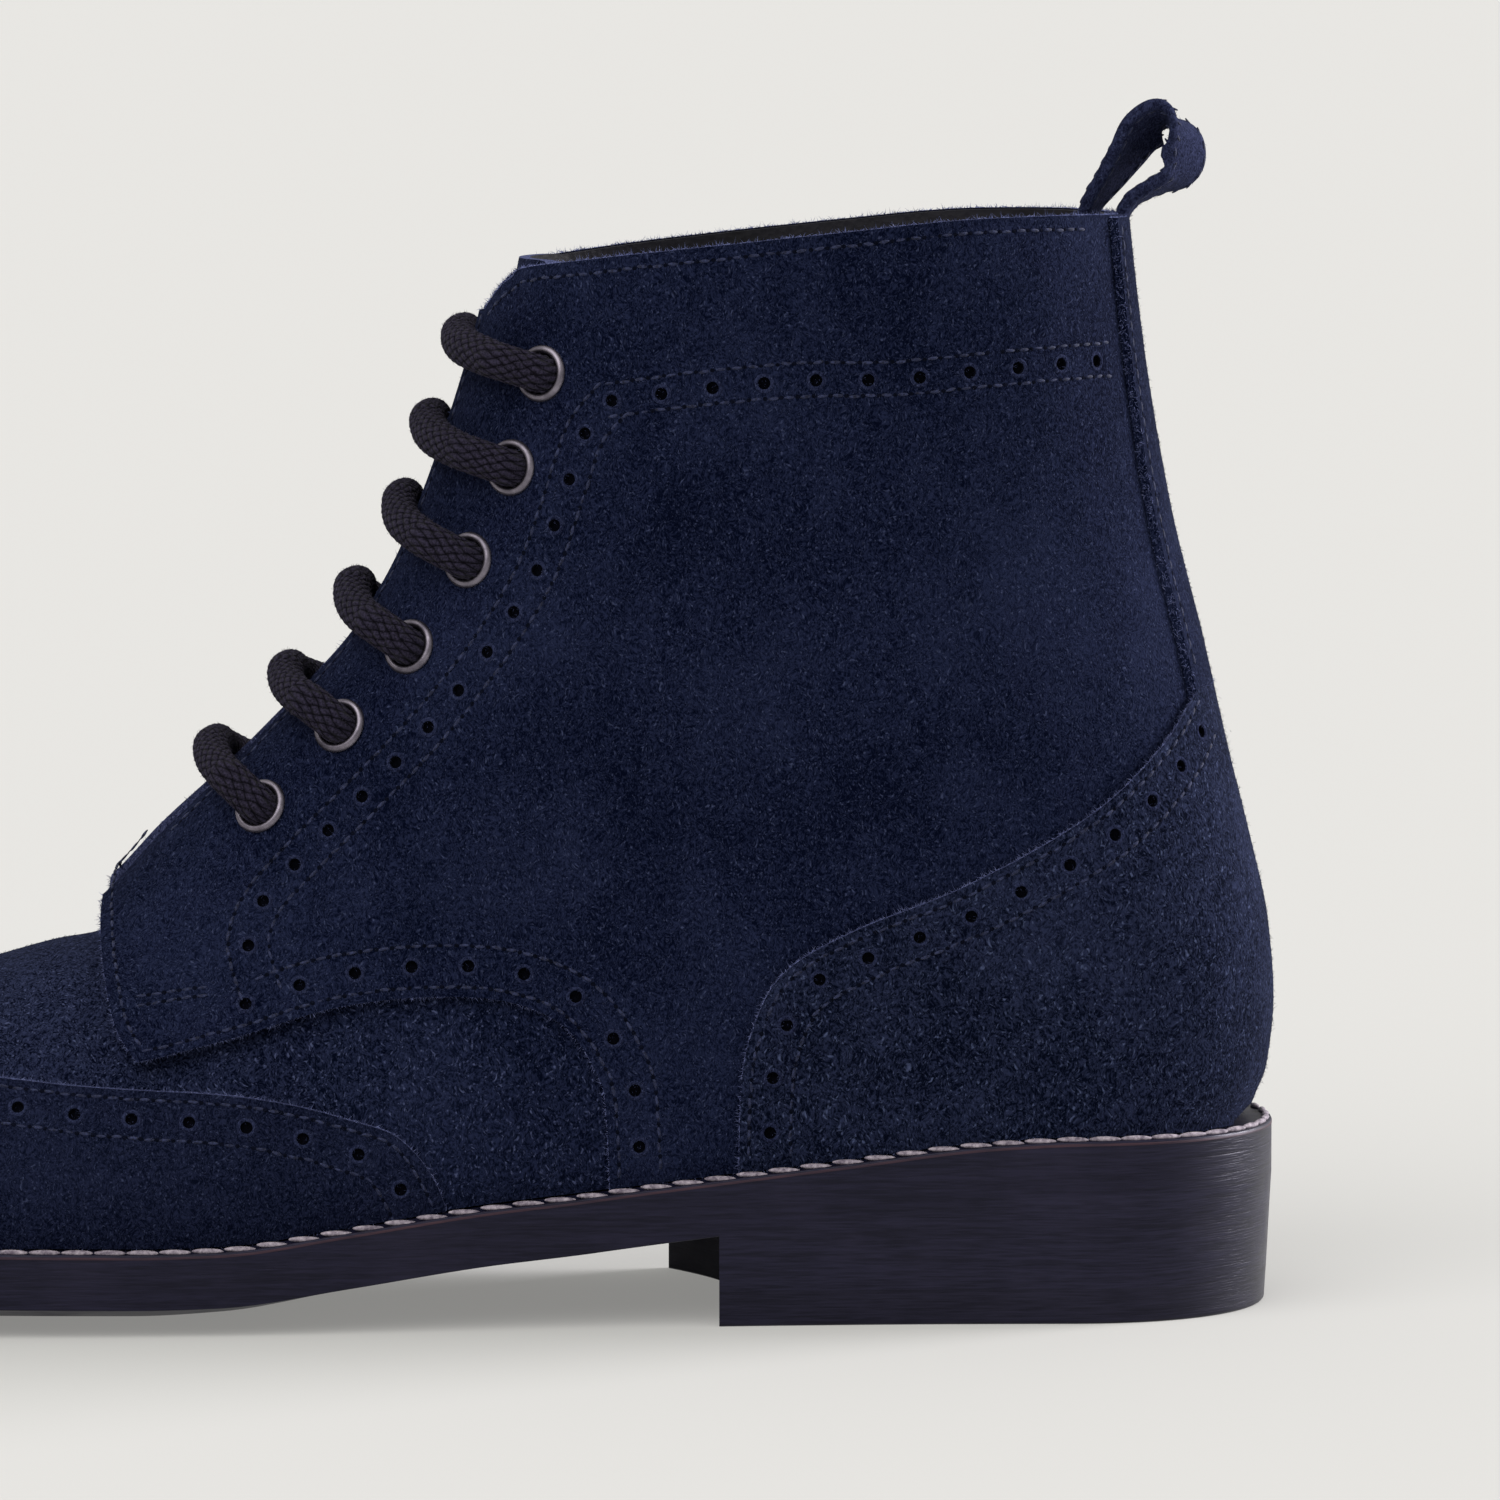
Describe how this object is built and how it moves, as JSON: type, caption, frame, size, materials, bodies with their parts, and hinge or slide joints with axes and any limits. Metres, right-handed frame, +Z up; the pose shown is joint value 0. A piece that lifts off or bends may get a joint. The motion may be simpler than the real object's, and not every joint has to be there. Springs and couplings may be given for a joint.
{
  "type": "brogue boot",
  "caption": "Suede ankle boot with a wing cap, heel counter, laced front, welted sole, stacked heel and a pull loop at the back.",
  "frame": {"origin": "centre of the bounding box on the floor", "axes": "+X to the heel back, -X to the toe, +Y to the inner side of the foot, -Y to the outer side, +Z up"},
  "size_m": [0.301, 0.1074, 0.1956],
  "materials": {
    "suede": "dark navy suede, short nap",
    "lining": "dark smooth lining leather",
    "sole_edge": "dyed and waxed stacked edge, fine grooves",
    "top_piece": "matt rubber",
    "eyelet": "polished dark nickel",
    "lace": "round braided cotton"
  },
  "bodies": {
    "root": {"upper": "suede", "tongue": "suede", "insole": "lining", "welt": "sole_edge", "outsole": "sole_edge", "heel_stack": "sole_edge", "heel_top_piece": "top_piece", "wing_cap": "suede", "heel_counter": "suede", "backstay": "suede", "pull_loop": "suede", "lace_bar_1": "lace", "eyelet_outer_1": "eyelet", "eyelet_inner_1": "eyelet", "lace_bar_2": "lace", "eyelet_outer_2": "eyelet", "eyelet_inner_2": "eyelet", "lace_bar_3": "lace", "eyelet_outer_3": "eyelet", "eyelet_inner_3": "eyelet", "lace_bar_4": "lace", "eyelet_outer_4": "eyelet", "eyelet_inner_4": "eyelet", "lace_bar_5": "lace", "eyelet_outer_5": "eyelet", "eyelet_inner_5": "eyelet", "lace_bar_6": "lace", "eyelet_outer_6": "eyelet", "eyelet_inner_6": "eyelet"}
  },
  "joints": []
}
